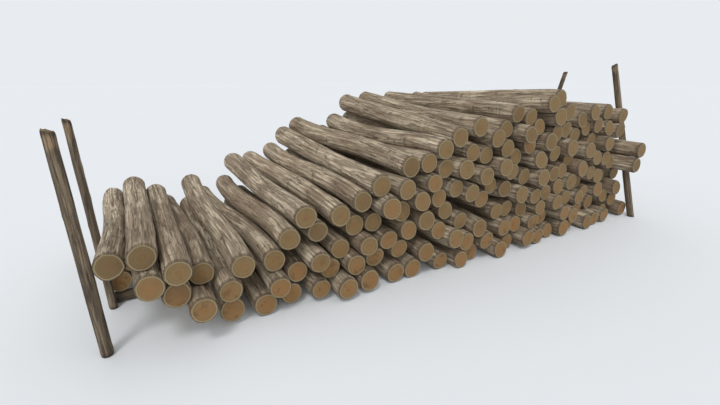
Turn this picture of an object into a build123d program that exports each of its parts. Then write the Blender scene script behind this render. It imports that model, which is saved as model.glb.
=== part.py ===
from build123d import *
import math
import os
import random
import numpy as np

# A stack of sawn logs between four stakes, in millimetres.
# X runs along the stack, Y along the logs and away from the front, Z is up.
# The origin is on the ground, under the middle of the whole stack.

# A log: a tapered and gently bent trunk, sawn off at both ends.
log_length = 3000.0
front_radius = 125.0
inner_back_radius = 120.0
outer_back_radius = 143.0
girth_spread = 0.06
taper_spread = 0.06
bow = 55.0
bow_waves = 0.8
rings_per_log = 11
saw_tilt = 7.0
bark_gap = 0.3

# How unevenly the logs lie. Towards both ends of the stack they start further back.
yaw_spread = 2.0
front_unevenness = 110.0
front_curve = 150.0
ground_gap = 45.0
roll_travel = 60.0

# The outline of the stack: its bottom row, its right end and what lies under the top logs.
row_start = 1020.0
row_end = 7620.0
right_limit = 7700.0
crest = [(1100, 560), (1500, 700), (2300, 880), (2900, 1220), (3800, 1520), (4300, 1800),
         (4800, 1930), (5900, 1980), (7000, 1820), (7400, 1560), (7600, 1100), (7700, 1000)]

# The pole that lies across and under the left end, and the short logs that lie on it:
# place, girth and length, as a share of the room behind the pole.
bearer_radius = 60.0
bearer_start = -60.0
bearer_clearance = 15.0
short_overhang = 50.0
short_logs = [(340, 1.0, 1.0), (30, 1.0, 1.0), (180, 0.85, 0.35)]

# The logs of the left end, from the lowest up: place, yaw, bend, roll, setback and roll travel.
left_end_logs = [
    (700, 1.0, 30, 1.2, -100, 0),
    (485, 0.5, 15, 2.0, 0, 60),
    (970, 2.0, 30, 2.0, 50, 60),
    (340, 1.0, 15, 4.3, -50, 60),
    (790, 0.5, 40, 5.7, 200, 60),
    (595, 2.0, 35, 1.5, -100, 40),
    (70, 2.0, 30, 6.0, 200, 0),
    (315, 2.0, 10, 6.0, 50, 40)]

# The logs on top, from the left: place, girth, yaw, bend, roll and what is added to the setback.
crest_logs = [
    (1300, 1.00, 1.0, 46, 1.0, -50),
    (1440, 1.00, 1.5, 46, 4.0, 0),
    (1780, 1.02, 0.3, 46, 2.0, 0),
    (2000, 1.00, -1.1, 46, 3.0, 50),
    (2260, 0.98, 0.6, 46, 0.7, 0),
    (2640, 1.04, 0.0, 46, 5.5, -50),
    (2830, 1.05, -2.3, 46, 3.6, 0),
    (3200, 1.00, 0.0, 46, 1.6, 50),
    (3560, 1.00, 1.0, 46, 4.4, 0),
    (3970, 1.03, 2.0, 46, 5.9, 0),
    (4390, 1.05, 3.0, 46, 2.4, 0),
    (4800, 0.98, 0.5, 46, 0.2, 50),
    (5270, 1.00, -1.0, 70, 4.7, -50),
    (5800, 1.00, 0.5, 46, 3.3, 0),
    (6400, 1.00, -0.5, 46, 1.1, 0),
    (6930, 1.00, 0.0, 46, 2.9, 50),
    (7330, 1.00, 0.0, 46, 0.5, 0)]

# Two logs that jut out at the right end, laid once the stack is this high: place, bend and roll.
jutting_level = 950.0
jutting_setback = -200.0
jutting_logs = [(7640, 25, 5.0), (7600, 25, 2.0)]

# The stakes.
front_stake_radius = 55.0
back_stake_radius = 43.0
left_stake_height = 2030.0
right_front_stake_height = 2590.0
right_back_stake_height = 2480.0
left_front_stake_depth = 290.0
left_back_stake_depth = 1174.0
right_front_stake_depth = -50.0
right_back_stake_depth = 2230.0
left_stake_lean = -2.3
right_front_stake_lean = 16.0
right_back_stake_lean = -14.0
stake_taper = 0.9
stake_cut = 18.0

# How the logs are shared out: courses above one another, and bays along the stack.
courses = 6
bays = 4

# Stations across which every log is compared with its neighbours.
stations_per_log = 60
stations_in_front = 10
station_step = log_length / stations_per_log
station_y = (np.arange(2 * stations_per_log) - stations_in_front) * station_step

chance = random.Random(37)


class Log:
    """A tapered, gently bent trunk, known by its middle line and radius at every station."""

    def __init__(self, girth=1.0, back_radius=outer_back_radius, yaw=0.0, bend=bow, roll=0.0, setback=0.0,
                 length=log_length):
        self.first = stations_in_front + round(setback / station_step)
        self.last = self.first + round(length / station_step)
        self.y = station_y[self.first:self.last + 1]
        share = (self.y - self.y[0]) / log_length
        self.radius = girth * (front_radius + (back_radius - front_radius) * share)
        self.along = self.y - np.average(self.y, weights=self.radius ** 2)
        self.rings = np.linspace(0, len(self.y) - 1, rings_per_log).round().astype(int)
        wave = bend * np.sin(2 * math.pi * bow_waves * share[self.rings] + roll)
        wave = np.interp(self.y, self.y[self.rings], wave)
        self.drift = wave * math.cos(roll) + self.along * math.tan(math.radians(yaw))
        self.rise = wave * math.sin(roll)
        self.lie(0.0, 0.0, 0.0)

    def lie(self, x, height, slope):
        """Put the log down with its centre of gravity at x and at this height."""
        self.x = x
        self.height = height
        self.line_x = x + self.drift
        self.line_z = height + slope * self.along + self.rise

    def shared_stations(self, log):
        """The stations that this log and another have in common, as a slice of each."""
        first = max(log.first, self.first)
        last = min(log.last, self.last) + 1
        return slice(first - log.first, last - log.first), slice(first - self.first, last - self.first)

    def lift(self, log, x, needed):
        """Raise the heights that a log needs at x by those at which it clears this one."""
        if abs(self.x - x) > 5 * outer_back_radius:
            return
        mine, own = self.shared_stations(log)
        reach = log.radius[mine] + self.radius[own] + bark_gap
        apart = x + log.drift[mine] - self.line_x[own]
        inside = np.maximum(reach ** 2 - apart ** 2, 0)
        over = np.where(inside > 0, self.line_z[own] + np.sqrt(inside) - log.rise[mine], 0)
        needed[mine] = np.maximum(needed[mine], over)


class Bearer:
    """A pole on the ground, across and under the logs of the left end, up to the bottom row."""

    def __init__(self, row):
        depth = left_back_stake_depth + back_stake_radius + bearer_clearance + bearer_radius
        self.station = stations_in_front + math.ceil(depth / station_step)
        self.y = station_y[self.station]
        edge = row[0].line_x - row[0].radius
        self.end = edge[self.station - row[0].first] - 2 * bearer_clearance

    def lift(self, log, x, needed):
        """Raise the heights that a log needs at x by that at which it clears the pole."""
        if bearer_start < x < self.end:
            k = self.station - log.first
            over = 2 * (bearer_radius + bark_gap) + log.radius[k] - log.rise[k]
            needed[k] = max(needed[k], over)

    def solid(self):
        lying = Plane(origin=(bearer_start, self.y, bearer_radius), z_dir=(1, 0, 0))
        return lying * Cylinder(bearer_radius, self.end - bearer_start,
                                align=(Align.CENTER, Align.CENTER, Align.MIN))


def balance(log, x, stack):
    """Height and slope of the log on its two supports, one on each side of its centre of gravity."""
    needed = log.radius - log.rise
    for piece in stack:
        piece.lift(log, x, needed)
    front = log.along < 0
    back = ~front
    front_along, back_along = log.along[front][:, None], log.along[back][None, :]
    front_height, back_height = needed[front][:, None], needed[back][None, :]
    run = back_along - front_along
    heights = (front_height * back_along - back_height * front_along) / run
    i, j = np.unravel_index(np.argmax(heights), heights.shape)
    return heights[i, j], (back_height[0, j] - front_height[i, 0]) / run[i, j]


def drop(log, x, stack, travel=roll_travel):
    """Lay the log down at x and let it roll into the hollow there, by at most the travel."""
    home = x
    lowest, slope = balance(log, x, stack)
    step = travel / 2
    while step > 0.25:
        for side in (-step, step):
            height, tilt = balance(log, x + side, stack)
            if abs(x + side - home) <= travel and x + side <= right_limit and height < lowest - 0.001:
                x, lowest, slope = x + side, height, tilt
                break
        else:
            step /= 2
    log.lie(x, lowest, slope)
    stack.append(log)


def front_line(x):
    """How far back the logs at x start, on average."""
    half = (row_end - row_start) / 2
    return front_curve * ((x - row_start - half) / half) ** 2


def any_log(x):
    """A log of chance girth, taper, bend, lie and end, for a place near x."""
    return Log(girth=1 + chance.uniform(-girth_spread, girth_spread),
               back_radius=inner_back_radius * (1 + chance.uniform(-taper_spread, taper_spread)),
               yaw=chance.uniform(-yaw_spread, yaw_spread),
               bend=bow * chance.uniform(0.5, 1.2),
               roll=chance.uniform(0, 2 * math.pi),
               setback=front_line(x) + chance.uniform(-front_unevenness, front_unevenness))


def lay_bottom_row():
    """Logs side by side on the ground, from the left end to the right end."""
    row = []
    x = row_start
    while x < row_end:
        log = any_log(x)
        if row:
            mine, theirs = row[-1].shared_stations(log)
            reach = log.radius[mine] + row[-1].radius[theirs] + bark_gap
            clear = np.max(row[-1].line_x[theirs] + reach - log.drift[mine])
            x = clear + chance.uniform(0, ground_gap)
        log.lie(x, *balance(log, x, []))
        row.append(log)
    return row


def fill_under_crest(stack, level=math.inf):
    """Logs in the lowest hollow, one after another, until the stack reaches its crest or this level."""
    places = np.arange(row_start, right_limit, inner_back_radius / 5)
    crest_x, crest_z = zip(*crest)
    room = np.minimum(np.interp(places, crest_x, crest_z), level)
    plain = Log(bend=0)
    heights = np.array([balance(plain, x, stack)[0] for x in places])
    laid = []
    while True:
        hollow = heights < room
        hollow[1:] &= heights[1:] <= heights[:-1]
        hollow[:-1] &= heights[:-1] <= heights[1:]
        if not hollow.any():
            return laid
        place = places[np.argmin(np.where(hollow, heights, np.inf))]
        log = any_log(place)
        drop(log, place, stack)
        laid.append(log)
        for k in np.flatnonzero(abs(places - log.x) < 3 * outer_back_radius):
            heights[k] = balance(plain, places[k], stack)[0]


def lay_short_logs(stack, bearer):
    """The short logs that lie hidden behind the left end, with their front ends on the bearer."""
    setback = bearer.y - short_overhang
    laid = []
    for place, girth, share in short_logs:
        length = share * (log_length - setback)
        log = Log(girth, bend=bow / 3, roll=len(laid), setback=setback, length=length)
        drop(log, place, stack)
        laid.append(log)
    return laid


def lay_left_end(stack):
    """The logs that slope down at the left end, which the bearer and the short logs carry."""
    laid = []
    for place, yaw, bend, roll, setback, travel in left_end_logs:
        log = Log(yaw=yaw, bend=bend, roll=roll, setback=setback)
        drop(log, place, stack, travel)
        laid.append(log)
    return laid


def lay_jutting_logs(stack):
    """The logs that stick out in front at the right end."""
    laid = []
    for place, bend, roll in jutting_logs:
        log = Log(bend=bend, roll=roll, setback=jutting_setback)
        drop(log, place, stack)
        laid.append(log)
    return laid


def lay_crest(stack):
    """The logs that show on top, from the left end to the right end."""
    laid = []
    for place, girth, yaw, bend, roll, setback in crest_logs:
        log = Log(girth, yaw=yaw, bend=bend, roll=roll, setback=front_line(place) + setback)
        drop(log, place, stack, 3 * roll_travel)
        laid.append(log)
    return laid


def trunk(log):
    """The solid of a log: rings along its middle line, joined by straight spans and sawn at a slant."""
    rings = []
    for k in log.rings:
        centre = (log.line_x[k], log.y[k], log.line_z[k])
        across = Plane(origin=centre, x_dir=(1, 0, 0), z_dir=(0, -1, 0))
        rings.append(across * Circle(log.radius[k]))
    slant = Rotation(chance.uniform(-saw_tilt, saw_tilt), 0, chance.uniform(-saw_tilt, saw_tilt))
    depth = log.radius[0] * math.tan(math.radians(saw_tilt)) * math.sqrt(2)
    cut = Plane(origin=(log.line_x[0], log.y[0] + depth, log.line_z[0]), x_dir=(1, 0, 0), z_dir=(0, 1, 0))
    return split(loft(rings, ruled=True), bisect_by=Plane(cut.location * slant), keep=Keep.TOP)


def stake(radius, height, depth, lean_x, lean_y):
    """A tapered pole on the ground, cut level at its foot and slanting at its top."""
    foot = Vector(0, depth, 0)
    axis = Vector(math.tan(math.radians(lean_x)), math.tan(math.radians(lean_y)), 1)
    pole = Plane(origin=foot - axis * radius, z_dir=axis) * Cone(
        radius, radius * stake_taper, height * axis.length + 3 * radius,
        align=(Align.CENTER, Align.CENTER, Align.MIN))
    pole = split(pole, bisect_by=Plane.XY, keep=Keep.TOP)
    top = Plane(Plane(origin=foot + axis * height, z_dir=axis).location * Rotation(0, stake_cut, 0))
    return split(pole, bisect_by=top, keep=Keep.BOTTOM)


def push_against(pole, trunks, side):
    """Slide a stake up to the logs, from the left end for side -1 and from the right end for side 1."""
    boxes = [trunk.bounding_box() for trunk in trunks]
    outside = max(max(side * box.min.X, side * box.max.X) for box in boxes)
    pole = Pos(side * (outside + 2 * front_stake_radius), 0, 0) * pole
    reach = outside - 4 * outer_back_radius
    near = [trunk for trunk, box in zip(trunks, boxes) if max(side * box.min.X, side * box.max.X) > reach]
    gap = min(pole.distance_to(trunk) for trunk in near)
    while gap > 1.1 * bark_gap:
        pole = Pos(side * (bark_gap - gap), 0, 0) * pole
        gap = min(pole.distance_to(trunk) for trunk in near)
    return pole


def stand_stakes(trunks):
    """The four stakes, pushed against the ends of the stack."""
    left_front = stake(front_stake_radius, left_stake_height, left_front_stake_depth, left_stake_lean, 0)
    left_back = stake(back_stake_radius, left_stake_height, left_back_stake_depth, left_stake_lean, 0)
    right_front = stake(front_stake_radius, right_front_stake_height, right_front_stake_depth,
                        0, right_front_stake_lean)
    right_back = stake(back_stake_radius, right_back_stake_height, right_back_stake_depth,
                       0, right_back_stake_lean)
    return {"left_front_stake": [push_against(left_front, trunks, -1)],
            "left_back_stake": [push_against(left_back, trunks, -1)],
            "right_front_stake": [push_against(right_front, trunks, 1)],
            "right_back_stake": [push_against(right_back, trunks, 1)]}


def bay_of(log):
    """The number of the bay in which a log lies."""
    return min(bays, 1 + int((log.x - row_start) / ((right_limit - row_start) / bays)))


def build():
    """Every node of the stack, as a list of solids for each name."""
    row = lay_bottom_row()
    bearer = Bearer(row)
    stack = row + [bearer]
    short = lay_short_logs(stack, bearer)
    left_end = lay_left_end(stack)
    inner = fill_under_crest(stack, jutting_level)
    jutting = lay_jutting_logs(stack)
    inner += fill_under_crest(stack)
    top = lay_crest(stack)

    nodes = {"short_logs": [trunk(log) for log in short]}
    for k, log in enumerate(left_end):
        nodes[f"left_end_log_{k + 1:02d}"] = [trunk(log)]
    for k, log in enumerate(top):
        nodes[f"crest_log_{k + 1:02d}"] = [trunk(log)]
    for k, log in enumerate(jutting):
        nodes[f"right_end_log_{k + 1:02d}"] = [trunk(log)]
    for log in row:
        nodes.setdefault(f"bottom_row_bay_{bay_of(log)}", []).append(trunk(log))
    for log in inner:
        course = min(courses, 1 + int(log.height / (2 * front_radius)))
        nodes.setdefault(f"course_{course}_bay_{bay_of(log)}", []).append(trunk(log))
    trunks = [solid for solids in nodes.values() for solid in solids]
    nodes.update(stand_stakes(trunks))
    nodes["bearer"] = [bearer.solid()]
    return nodes


nodes = build()
whole = Compound([solid for solids in nodes.values() for solid in solids]).bounding_box()
middle = Location((-(whole.min.X + whole.max.X) / 2, -(whole.min.Y + whole.max.Y) / 2, 0))
os.makedirs("parts", exist_ok=True)
for name, solids in nodes.items():
    export_step(Compound([middle * solid for solid in solids]), f"parts/{name}.step")
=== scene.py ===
import math
import random
import bmesh
import bpy
import numpy as np
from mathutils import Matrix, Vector, noise


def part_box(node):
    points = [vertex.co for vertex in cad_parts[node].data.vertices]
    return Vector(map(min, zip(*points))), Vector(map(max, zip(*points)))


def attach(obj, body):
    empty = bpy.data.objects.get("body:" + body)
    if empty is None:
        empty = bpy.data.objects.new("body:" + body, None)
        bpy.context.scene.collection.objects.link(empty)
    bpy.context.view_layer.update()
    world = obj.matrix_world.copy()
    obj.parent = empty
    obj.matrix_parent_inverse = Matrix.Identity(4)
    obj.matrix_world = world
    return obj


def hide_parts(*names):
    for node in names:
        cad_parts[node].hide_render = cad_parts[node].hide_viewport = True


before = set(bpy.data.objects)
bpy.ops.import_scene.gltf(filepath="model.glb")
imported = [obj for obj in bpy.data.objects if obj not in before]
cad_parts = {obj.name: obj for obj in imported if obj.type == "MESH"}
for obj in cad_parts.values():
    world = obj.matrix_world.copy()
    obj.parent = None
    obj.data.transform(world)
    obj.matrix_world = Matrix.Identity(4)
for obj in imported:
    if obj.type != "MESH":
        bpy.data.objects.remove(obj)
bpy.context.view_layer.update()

chance = random.Random(5)

# Sizes are in metres. X runs along the stack, Y along the logs and away from the front, Z is up.

# For each kind of trunk: faces around it and along it, the height of its bark's relief, and its knots.
SEGMENTS = {"outer log": 56, "inner log": 36, "stake": 24, "bearer": 24}
ROWS = {"outer log": 104, "inner log": 44, "stake": 70, "bearer": 70}
BARK_RELIEF = {"outer log": 0.009, "inner log": 0.007, "stake": 0.005, "bearer": 0.002}
KNOTS = {"outer log": 4, "inner log": 1, "stake": 3, "bearer": 1}

# How strongly the rows crowd towards the cuts, from 0, evenly spread, to 1.
ROWS_NEAR_ENDS = 0.7

# Bark is a share of a cut's radius wide there. It is rounded over the cut, swells a little behind it, and the
# cut's slant fades out along the trunk.
BARK_RIM = 0.045
EDGE_ROUND = 0.006
EDGE_REACH = 0.02
SWELL_PLACE = 0.04
SWELL_REACH = 0.03
CUT_BLEND = 0.25

# A cut end has rings of faces, as shares of its radius, and its heart is a little off the middle.
END_RINGS = (0.25, 0.30, 0.20)
HEART_DRIFT = 0.008

# Trunks aren't round: an oval and a three-sided swelling, as shares of the radius.
LOBES = ((2, 0.026), (3, 0.016))

# Lumps of bark from broad to narrow: height, how many around and along, and another part of the pattern.
LUMPS = ((0.60, 0.7, 1.6, 0), (0.42, 4.2, 2.6, 9), (0.42, 8.5, 3.4, 17))

# Heights as shares of the bark's relief: what the lumps lose, knots, the swelling and the worn edge.
LUMPS_SUNK = 0.25
KNOT_RISE = 0.8
KNOT_WIDTH = 0.035
SWELL_RISE = 0.3
EDGE_DROP = 0.5

# Bark is gone from the tops of the stakes, and their cuts are splintered.
STAKE_PEEL = 0.20
SPLINTERS = 0.012
SPLINTER_REACH = 0.05
SPLINTERS_PER_METRE = 60

# Rings of corners on a log of the frame lie this far apart or more, and this far from its ends.
RING_GAP = 0.01
RING_MARGIN = 0.10

# Corners of the frame nearer than this are one. A cut's normal follows its trunk by more than this cosine.
SAME_CORNER = 0.00001
CUT_COSINE = 0.7

# What materials read at each corner, beside the grain (across, along and up, in metres). Reach is 0 to 1 from
# the heart of a cut to its rim, and on the bark 1 and the distance from the nearest cut. Tone is one number for
# each trunk. Peeled is 1 at the top of a stake.
SINGLE_VALUES = ("reach", "tone", "peeled")

# The camera stands in front of the low end; its place is counted from the pole under that end.
POLE_START = -0.060
POLE_DEPTH = 1.300
CAMERA_PLACE = (0.2171, -3.6123, 2.4315)
CAMERA_TILT = 72.81
CAMERA_TURN = -30.69
CAMERA_LENS = 20.68
CAMERA_REACH = 400

# Name, strength, width in degrees and direction of each lamp, and the strength of the sky.
LAMPS = (("key", 0.98, 14, (0.38, 0.40, -0.83)), ("fill", 0.80, 40, (0.36, 0.88, -0.32)))
SKY = 0.72

FLOOR_SIZE = 120
FLOOR_DROP = 0.002


def shade(red, green, blue):
    """A colour as it looks, from 0 to 255, as the light values that Blender takes."""
    def light(value):
        value = value / 255
        return value / 12.92 if value <= 0.04045 else ((value + 0.055) / 1.055) ** 2.4
    return (light(red), light(green), light(blue), 1.0)


class Value:
    """A value on a surface. Sums and products of such values add their own Math nodes."""

    def __init__(self, finish, socket):
        self.finish = finish
        self.socket = socket

    def maths(self, operation, other=0.0):
        return self.finish.node("ShaderNodeMath", {"operation": operation}, {0: self, 1: other})

    def __add__(self, other):
        return self.maths("ADD", other)

    def __sub__(self, other):
        return self.maths("SUBTRACT", other)

    def __mul__(self, other):
        return self.maths("MULTIPLY", other)

    def __rsub__(self, other):
        return self.finish.node("ShaderNodeMath", {"operation": "SUBTRACT"}, {0: other, 1: self})

    __radd__ = __add__
    __rmul__ = __mul__

    def between(self, low, high):
        """0 below low, 1 above high, and a soft step in between."""
        return self.finish.node("ShaderNodeMapRange", {"interpolation_type": "SMOOTHSTEP"},
                                {0: self, 1: low, 2: high})

    def line_at(self, level, inner, outer):
        """1 where the value is within inner of a level, falling to 0 at outer: a thin wandering line."""
        return 1 - (self - level).maths("ABSOLUTE").between(inner, outer)

    def another(self, factor):
        """Another value from 0 to 1 that seems unrelated to this one."""
        return (self * factor).maths("FRACT")


class Finish:
    """The nodes of a material or of the sky."""

    def __init__(self, owner):
        owner.use_nodes = True
        self.owner = owner
        self.tree = owner.node_tree

    def node(self, kind, settings, sockets, output=0):
        """A new node: its settings come first, and then its sockets get their values or links."""
        made = self.tree.nodes.new(kind)
        for name, value in settings.items():
            setattr(made, name, value)
        for place, value in sockets.items():
            self.join(made.inputs[place], value)
        return Value(self, made.outputs[output])

    def join(self, place, value):
        if isinstance(value, Value):
            self.tree.links.new(value.socket, place)
        else:
            place.default_value = value

    def attribute(self, name, output="Fac"):
        return self.node("ShaderNodeAttribute", {"attribute_name": name}, {}, output)

    def stretched(self, point, *scale):
        """A place on the wood, scaled by other amounts across and along the grain."""
        return self.node("ShaderNodeVectorMath", {"operation": "MULTIPLY"}, {0: point, 1: scale})

    def cloud(self, point, scale, detail=4.0, roughness=0.55, distortion=0.0):
        return self.node("ShaderNodeTexNoise", {}, {"Vector": point, "Scale": scale, "Detail": detail,
                                                    "Roughness": roughness, "Distortion": distortion})

    def bands(self, across, scale, detail):
        """Uneven bands across a distance, as years leave them in wood."""
        return self.node("ShaderNodeTexNoise", {"noise_dimensions": "1D"},
                         {"W": across, "Scale": scale, "Detail": detail})

    def cells(self, point, scale, feature="F1"):
        return self.node("ShaderNodeTexVoronoi", {"feature": feature}, {"Vector": point, "Scale": scale})

    def mix(self, share, first, second):
        """One colour turning into another."""
        return self.node("ShaderNodeMix", {"data_type": "RGBA"}, {0: share, 6: first, 7: second}, 2)

    def coat(self, colour, roughness, height, depth):
        """Puts a colour, a roughness and a relief of this depth on the surface."""
        relief = self.node("ShaderNodeBump", {}, {"Strength": 1.0, "Distance": depth, "Height": height})
        surface = self.tree.nodes["Principled BSDF"].inputs
        self.join(surface["Base Color"], colour)
        self.join(surface["Roughness"], roughness)
        self.join(surface["Normal"], relief)
        return self.owner


def bark_finish(name, cracked, furrow, body, pale, dusk, bare):
    """Bark with long furrows, worn pale ridges, cross cracks and knots, darker where it meets the cut."""
    bark = Finish(bpy.data.materials.new(name))
    grain = bark.attribute("grain", "Vector")
    tone = bark.attribute("tone")
    reach = bark.attribute("reach")
    peeled = bark.attribute("peeled")

    drift = bark.cloud(bark.stretched(grain, 1.0, 0.35, 1.0), 3.6, 3.0)
    ridges = bark.cloud(bark.stretched(grain, 1.0, 0.05, 1.0), 30.0, 6.0, 0.62, 0.35)
    fibres = bark.cloud(bark.stretched(grain, 1.0, 0.03, 1.0), 120.0, 3.0, 0.6)
    streaks = bark.cloud(bark.stretched(grain, 1.0, 0.06, 1.0), 19.0, 4.0, 0.6, 0.5)
    seams = bark.cloud(bark.stretched(grain, 1.0, 0.055, 1.0), 15.0, 4.0, 0.55, 0.3)
    plates = bark.cells(bark.stretched(grain, 1.0, 0.12, 1.0), 26.0, "DISTANCE_TO_EDGE")
    breaks = bark.cloud(bark.stretched(grain, 0.30, 1.0, 0.30), 5.5, 2.0, 0.5, 0.4)

    furrows = ridges.line_at(0.46, 0.0, 0.055)
    seam_lines = seams.line_at(0.5, 0.010, 0.045)
    splits = 1 - plates.between(0.0, 0.08)
    cracks = breaks.line_at(0.52, 0.002, 0.012) * streaks.between(0.46, 0.54)
    knots = 1 - bark.cells(bark.stretched(grain, 1.0, 0.45, 1.0), 3.4).between(0.030, 0.085)
    cut = 1 - (reach + fibres * 0.05 - 0.025).between(1.004, 1.055)
    light = (ridges + fibres * 0.7 + drift * 0.3 - 0.50).between(0.25, 0.75)
    naked = (peeled + streaks * 0.9 - 0.45).between(0.42, 0.56)

    colour = bark.mix(light, body, pale)
    colour = bark.mix(streaks.between(0.57, 0.66) * 0.75, colour, pale)
    colour = bark.mix(drift.between(0.46, 0.62) * 0.6, colour, dusk)
    colour = bark.mix(naked * (0.55 + light * 0.4), colour, bare)
    dark = furrows * 0.42 + seam_lines * 0.46 + splits * 0.16
    dark = dark + knots * 0.5 + cracks * cracked + cut * 0.75
    colour = bark.mix(dark.maths("MINIMUM", 0.90), colour, furrow)
    colour = bark.mix(tone.another(7.3) * 0.30, colour, dusk)
    colour = bark.mix(tone.between(0.3, 1.0) * 0.20, colour, furrow)
    height = ridges * 0.9 + fibres * 0.3 - furrows * 0.4 - seam_lines * 0.5 - splits * 0.2
    height = height - knots * 0.4 - cracks * cracked - naked * 0.5
    return bark.coat(colour, 0.97 - light * 0.12, height, 0.010)


def sawn_finish():
    """A sawn end with growth rings, a redder heart, a pale rim of inner bark, and oranger, blotchier wood low
    down.
    """
    sawn = Finish(bpy.data.materials.new("sawn_wood"))
    grain = sawn.attribute("grain", "Vector")
    tone = sawn.attribute("tone")
    wobble = sawn.cloud(grain, 8.0, 2.0) - 0.5
    reach = sawn.attribute("reach") + wobble * 0.09

    seasons = sawn.bands(reach + tone * 30, 9.0, 1.0).between(0.38, 0.62)
    years = sawn.bands(reach + tone * 50, 44.0, 2.0).between(0.46, 0.58)
    stain = sawn.cloud(grain, 13.0, 4.0)
    saw_marks = sawn.cloud(sawn.stretched(grain, 22.0, 1.0, 260.0), 1.0, 2.0)
    place = sawn.node("ShaderNodeTexCoord", {}, {}, "Object")
    from_ground = sawn.node("ShaderNodeSeparateXYZ", {}, {0: place}, "Z")
    # Cut ends turn more orange, with darker blotches, the nearer they are to the ground.
    near_ground = (1 - from_ground.between(0.20, 0.75)) * (0.45 + stain * 0.6)

    colour = sawn.mix(reach.between(0.05, 0.55), shade(131, 99, 60), shade(125, 104, 68))
    colour = sawn.mix(seasons * 0.30 + years * 0.26, colour, shade(97, 74, 46))
    colour = sawn.mix(stain.between(0.50, 0.80) * 0.45, colour, shade(94, 75, 49))
    colour = sawn.mix(tone.between(0.72, 1.0) * 0.35, colour, shade(134, 94, 53))
    colour = sawn.mix(tone.another(11.7).between(0.75, 1.0) * 0.40, colour, shade(88, 70, 46))
    colour = sawn.mix(near_ground * 0.45, colour, shade(142, 97, 51))
    colour = sawn.mix(near_ground * stain.between(0.56, 0.66) * 0.7, colour, shade(84, 62, 38))
    colour = sawn.mix(reach.between(0.775, 0.80) * 0.55, colour, shade(96, 76, 47))
    colour = sawn.mix(reach.between(0.815, 0.870) * 0.85, colour, shade(142, 129, 98))
    colour = sawn.mix(reach.between(0.925, 0.955), colour, shade(84, 71, 53))
    return sawn.coat(colour, 0.78 + stain * 0.15, saw_marks * 0.6 - years * 0.35, 0.0012)


def middle(corners):
    """The middle of the box round these corners."""
    return (corners.min(0) + corners.max(0)) / 2


class Trunk:
    """A log, a stake or a pole of the frame: its two ends, its middle line and its radius along it."""

    def __init__(self, faces, way, across, bent):
        self.way = np.array(way, float)
        start, self.start_normal = self.cut_end(faces, -self.way)
        end, self.end_normal = self.cut_end(faces, self.way)
        centres = [middle(start), middle(end)]
        if not bent:
            self.way = (centres[1] - centres[0]) / np.linalg.norm(centres[1] - centres[0])
        self.across = across - self.way * (across @ self.way)
        self.across /= np.linalg.norm(self.across)
        self.up = np.cross(self.way, self.across)
        rings = [start, *(self.inner_rings(faces, centres) if bent else []), end]
        self.line = np.array([middle(ring) for ring in rings])
        self.radius = np.array([max(abs((ring - middle(ring)) @ self.across)) for ring in rings])
        self.at = self.line @ self.way

    def cut_end(self, faces, way):
        """The corners of the flat end that looks this way, and its outward normal."""
        flat = [face for face in faces if Vector(way) @ face.normal > CUT_COSINE]
        normal = sum(np.array(face.normal) * face.calc_area() for face in flat)
        return np.array([v.co for face in flat for v in face.verts]), normal / np.linalg.norm(normal)

    def inner_rings(self, faces, centres):
        """The rings of corners between the two ends, which stand square to the trunk's way."""
        corners = np.array([v.co for face in faces for v in face.verts])
        along = corners @ self.way
        low, high = (centre @ self.way for centre in centres)
        inside = (along > low + RING_MARGIN) & (along < high - RING_MARGIN)
        order = np.argsort(along[inside])
        steps = np.diff(along[inside][order])
        return np.split(corners[inside][order], np.flatnonzero(steps > RING_GAP) + 1)

    def smooth(self, values, place):
        """Values known at the rings, joined by a smooth curve and read at these places."""
        slope = np.gradient(values, self.at, axis=0)
        k = np.clip(np.searchsorted(self.at, place) - 1, 0, len(self.at) - 2)
        step = self.at[k + 1] - self.at[k]
        t = np.clip((place - self.at[k]) / step, 0, 1)
        if values.ndim > 1:
            t, step = t[:, None], step[:, None]
        return ((2 * t ** 3 - 3 * t ** 2 + 1) * values[k] + (t ** 3 - 2 * t ** 2 + t) * step * slope[k]
                + (3 * t ** 2 - 2 * t ** 3) * values[k + 1] + (t ** 3 - t ** 2) * step * slope[k + 1])

    def middle_line(self, along):
        """Where the trunk's middle is at these distances along its way."""
        line = self.smooth(self.line, along)
        return line - np.outer(line @ self.way - along, self.way)


def separate_solids(bm):
    """The faces of each solid of a node, in order of the solids' places."""
    for face in bm.faces:
        face.tag = False
    found = []
    for first in bm.faces:
        if first.tag:
            continue
        first.tag = True
        faces = [first]
        for face in faces:
            beside = [other for edge in face.edges for other in edge.link_faces if not other.tag]
            for other in beside:
                if not other.tag:
                    other.tag = True
                    faces.append(other)
        found.append(faces)

    def place(faces):
        corners = np.array([v.co for face in faces for v in face.verts])
        return [round(value, 3) for value in middle(corners)]
    return sorted(found, key=place)


def plain_pole(kind):
    """A round bar one long and two wide, in rows, with rings on its ends and room for its values."""
    bm = bmesh.new()
    bm.verts.layers.float_vector.new("grain")
    for name in SINGLE_VALUES:
        bm.verts.layers.float.new(name)
    bmesh.ops.create_cone(bm, cap_ends=True, cap_tris=False, segments=SEGMENTS[kind],
                          radius1=1, radius2=1, depth=1)
    ends = [face for face in bm.faces if len(face.verts) > 4]
    lengthwise = [edge for edge in bm.edges if edge.verts[0].co.z * edge.verts[1].co.z < 0]
    bark_rim = bmesh.ops.inset_individual(bm, faces=ends, thickness=BARK_RIM, use_even_offset=False)["faces"]
    for width in END_RINGS:
        bmesh.ops.inset_individual(bm, faces=ends, thickness=width, use_even_offset=False)
    bmesh.ops.poke(bm, faces=ends)
    bm.normal_update()
    for face in bm.faces:
        face.material_index = int(abs(face.normal.z) > 0.5 and face not in bark_rim)
        face.smooth = not face.material_index
    for edge in bm.edges:
        edge.smooth = len({face.material_index for face in edge.link_faces}) == 1
    bmesh.ops.subdivide_edges(bm, edges=lengthwise, cuts=ROWS[kind] - 1, use_grid_fill=True)
    return bm


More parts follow.
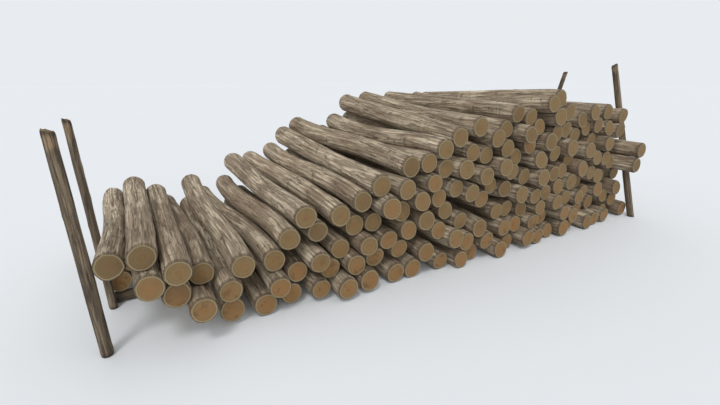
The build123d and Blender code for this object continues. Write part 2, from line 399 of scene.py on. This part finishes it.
def lumps(angle, along, seed):
    """Swellings, ridges and furrows of bark, from about -1 to 1, that run along the grain."""
    spots = list(zip(np.cos(angle), along, np.sin(angle)))
    return np.array([sum(height * noise.noise(Vector((x * around + seed, y * lengthwise, z * around + shift)))
                         for height, around, lengthwise, shift in LUMPS) for x, y, z in spots])


def bark_radius(trunk, angle, along, from_end, seed, kind):
    """The trunk's radius out to the bark, with its lobes, lumps, knots and the edge at the cuts."""
    depth = BARK_RELIEF[kind]
    radius = trunk.smooth(trunk.radius, along)
    knots = [(chance.uniform(trunk.at[0], trunk.at[-1]), chance.uniform(0, math.tau))
             for _ in range(KNOTS[kind])]
    for count, size in LOBES:
        size = size * chance.uniform(0.3, 1)
        radius = radius * (1 + size * np.sin(count * angle + chance.uniform(0, math.tau)))
    radius = radius + depth * (lumps(angle, along, seed) - LUMPS_SUNK)
    for knot_along, knot_angle in knots:
        around = trunk.radius.mean() * np.angle(np.exp(1j * (angle - knot_angle)))
        away = (along - knot_along) ** 2 + around ** 2
        radius = radius + KNOT_RISE * depth * np.exp(-away / KNOT_WIDTH ** 2)
    swell = np.exp(-((from_end - SWELL_PLACE) / SWELL_REACH) ** 2)
    worn = np.exp(-2 * from_end / EDGE_REACH)
    return radius + depth * (SWELL_RISE * swell - EDGE_DROP * worn)


def grow(trunk, pole, kind):
    """Shapes a plain pole into this trunk, in bark, with rounded edges at its two saw cuts."""
    bm = pole.copy()
    seed = chance.uniform(0, 60)
    tone = chance.random()
    first, last = trunk.at[0], trunk.at[-1]
    corners = np.array([v.co for v in bm.verts])
    angle = np.arctan2(corners[:, 1], corners[:, 0])
    reach = np.hypot(corners[:, 0], corners[:, 1])
    on_bark = reach > 1 - BARK_RIM / 2
    share = corners[:, 2] + 0.5
    share = share - ROWS_NEAR_ENDS * np.sin(math.tau * share) / math.tau
    along = first + share * (last - first)
    from_end = np.minimum(along - first, last - along)
    along = along + np.sign(0.5 - share) * EDGE_ROUND * np.exp(-from_end / EDGE_REACH) * on_bark

    radius = bark_radius(trunk, angle, along, from_end, seed, kind) * reach
    sideways, upwards = ((1 - reach) * chance.gauss(0, HEART_DRIFT) for _ in range(2))
    offset = np.outer(np.cos(angle) * radius + sideways, trunk.across)
    offset += np.outer(np.sin(angle) * radius + upwards, trunk.up)
    place = trunk.middle_line(along) + offset
    for normal, distance in ((trunk.start_normal, along - first), (trunk.end_normal, last - along)):
        slant = -(offset @ normal) / (trunk.way @ normal)
        place += np.outer(slant * np.clip(1 - distance / CUT_BLEND, 0, 1), trunk.way)
    peeled = np.zeros(len(along))
    if kind == "stake":
        peeled = np.exp(-(last - along) / STAKE_PEEL)
        shift = Vector((seed, 0, 0))
        rough = np.array([noise.noise(Vector(spot) * SPLINTERS_PER_METRE + shift) for spot in offset])
        place += np.outer(SPLINTERS * rough * np.exp(-(last - along) / SPLINTER_REACH), trunk.way)
    place[:, 2] = np.maximum(place[:, 2], 0)

    grain = np.stack([offset @ trunk.across, along + seed, offset @ trunk.up], 1)
    reach = np.where(on_bark, 1 + from_end, reach)
    grain_layer = bm.verts.layers.float_vector["grain"]
    reach_layer, tone_layer, peeled_layer = (bm.verts.layers.float[name] for name in SINGLE_VALUES)
    for vert, spot, fibre, distance, bareness in zip(bm.verts, place, grain, reach, peeled):
        vert.co = spot
        vert[grain_layer] = fibre
        vert[reach_layer] = distance
        vert[tone_layer] = tone
        vert[peeled_layer] = bareness
    return bm


def dress(node, kind, finishes, slot, way, across):
    """A piece that stands for a node of the frame, with every one of its trunks in full detail."""
    solid = bmesh.new()
    solid.from_mesh(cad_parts[node].data)
    bmesh.ops.remove_doubles(solid, verts=solid.verts, dist=SAME_CORNER)
    mesh = bpy.data.meshes.new(node + "_wood")
    whole = bmesh.new()
    for faces in separate_solids(solid):
        trunk = Trunk(faces, way, np.array(across, float), bent=slot == "log")
        grown = grow(trunk, poles[kind], kind)
        grown.to_mesh(mesh)
        grown.free()
        whole.from_mesh(mesh)
    solid.free()
    whole.to_mesh(mesh)
    whole.free()
    for finish in finishes:
        mesh.materials.append(finish)
    piece = bpy.data.objects.new(node + "_wood", mesh)
    bpy.context.scene.collection.objects.link(piece)
    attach(piece, "root")
    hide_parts(node)


def lay_floor():
    """A wide pale floor under the stack, a hair below its lowest bark."""
    bm = bmesh.new()
    bmesh.ops.create_grid(bm, x_segments=1, y_segments=1, size=FLOOR_SIZE)
    bmesh.ops.translate(bm, verts=bm.verts, vec=(0, 0, -FLOOR_DROP))
    mesh = bpy.data.meshes.new("floor")
    bm.to_mesh(mesh)
    bm.free()
    finish = Finish(bpy.data.materials.new("pale_floor"))
    clouds = finish.cloud(finish.node("ShaderNodeTexCoord", {}, {}, "Object"), 0.4, 2.0)
    colour = finish.mix(clouds * 0.2, shade(226, 230, 234), shade(219, 223, 228))
    mesh.materials.append(finish.coat(colour, 0.9, clouds, 0.0))
    floor = bpy.data.objects.new("floor", mesh)
    bpy.context.scene.collection.objects.link(floor)


def light_sky():
    """An even soft sky, which the camera and reflections see as pale as the far floor."""
    sky = Finish(bpy.data.worlds.new("sky"))
    light = sky.node("ShaderNodeBackground", {}, {"Color": (1, 1, 1, 1), "Strength": SKY})
    seen = sky.node("ShaderNodeBackground", {}, {"Color": shade(232, 236, 240)})
    camera, gloss, glass = (sky.node("ShaderNodeLightPath", {}, {}, f"Is {way} Ray")
                            for way in ("Camera", "Glossy", "Transmission"))
    choice = sky.node("ShaderNodeMixShader", {}, {0: camera + gloss + glass, 1: light, 2: seen})
    sky.join(sky.tree.nodes["World Output"].inputs["Surface"], choice)
    bpy.context.scene.world = sky.owner


def hang_lamps():
    """Soft sunlight from above on the left, and a weaker wide light from the viewer's side."""
    for name, strength, width, way in LAMPS:
        lamp = bpy.data.lights.new(name, "SUN")
        lamp.energy = strength
        lamp.angle = math.radians(width)
        holder = bpy.data.objects.new(name, lamp)
        holder.rotation_euler = Vector(way).to_track_quat("-Z", "Y").to_euler()
        bpy.context.scene.collection.objects.link(holder)


def place_camera():
    """The camera stands in front of the low end, above the stack, and looks along it to the right."""
    low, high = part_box("bearer")
    corner = Vector((low.x - POLE_START, (low.y + high.y) / 2 - POLE_DEPTH, 0))
    camera = bpy.data.objects.new("camera", bpy.data.cameras.new("camera"))
    camera.data.lens = CAMERA_LENS
    camera.data.clip_end = CAMERA_REACH
    camera.location = corner + Vector(CAMERA_PLACE)
    camera.rotation_euler = (math.radians(CAMERA_TILT), 0, math.radians(CAMERA_TURN))
    bpy.context.scene.collection.objects.link(camera)
    bpy.context.scene.camera = camera


log_bark = bark_finish("bark", cracked=0.6, furrow=shade(88, 74, 57), body=shade(156, 138, 114),
                       pale=shade(222, 208, 182), dusk=shade(128, 104, 80), bare=shade(176, 142, 100))
stake_bark = bark_finish("stake_bark", cracked=0.15, furrow=shade(52, 43, 34), body=shade(96, 83, 67),
                         pale=shade(150, 134, 110), dusk=shade(78, 64, 50), bare=shade(178, 152, 120))
sawn_end = sawn_finish()
poles = {kind: plain_pole(kind) for kind in SEGMENTS}

for node in sorted(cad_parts):
    if node.endswith("_stake"):
        dress(node, "stake", (stake_bark, sawn_end), "stake", way=(0, 0, 1), across=(1, 0, 0))
    elif node == "bearer":
        dress(node, "bearer", (stake_bark, sawn_end), "stake", way=(1, 0, 0), across=(0, 1, 0))
    else:
        outer = node.startswith(("crest", "left_end", "right_end"))
        dress(node, "outer log" if outer else "inner log", (log_bark, sawn_end), "log",
              way=(0, 1, 0), across=(1, 0, 0))

lay_floor()
light_sky()
hang_lamps()
place_camera()
bpy.context.scene.view_settings.view_transform = "Standard"
